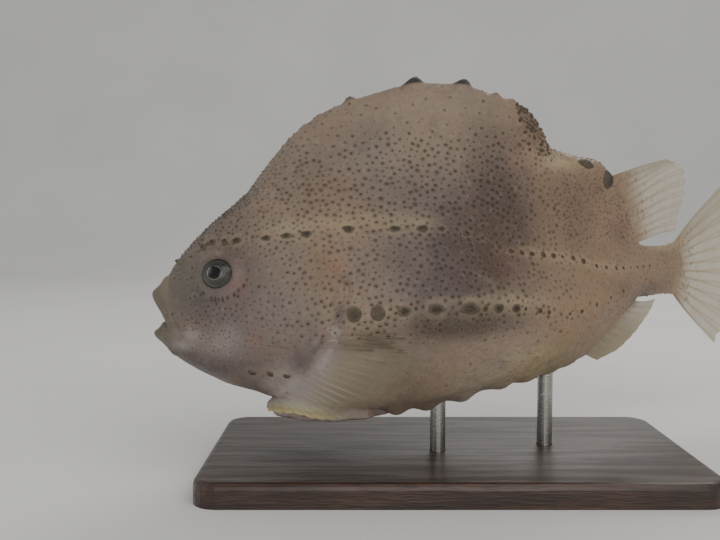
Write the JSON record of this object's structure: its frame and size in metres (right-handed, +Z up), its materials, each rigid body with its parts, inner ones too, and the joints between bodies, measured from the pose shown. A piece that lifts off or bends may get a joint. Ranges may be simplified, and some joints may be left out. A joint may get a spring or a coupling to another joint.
{
  "type": "lumpfish (lumpsucker) display model",
  "caption": "Life-size still model of an adult lumpfish with a high crest, rows of bony plates and a bent tail, on a plain display stand.",
  "frame": {"origin": "centre of the stand base's underside", "axes": "+Z up; the fish's head points to -X and its left side faces -Y; its tail swings towards +Y"},
  "size_m": [0.3526, 0.1916, 0.2045],
  "materials": {
    "skin": "damp, rough with small tubercles",
    "fin": "thin, translucent, ribbed",
    "eye": "glossy",
    "wood": "satin, dark stained",
    "rod": "satin"
  },
  "bodies": {
    "root": {"head": "skin", "torso": "skin", "crest": "skin", "tail_base": "skin", "dorsal_fin": "fin", "anal_fin": "fin", "caudal_fin": "fin", "pectoral_fin_left": "fin", "pectoral_fin_right": "fin", "sucker_disc": "skin", "eye_left": "eye", "eye_right": "eye", "stand_base": "wood", "stand_rod_front": "rod", "stand_rod_rear": "rod"}
  },
  "joints": []
}
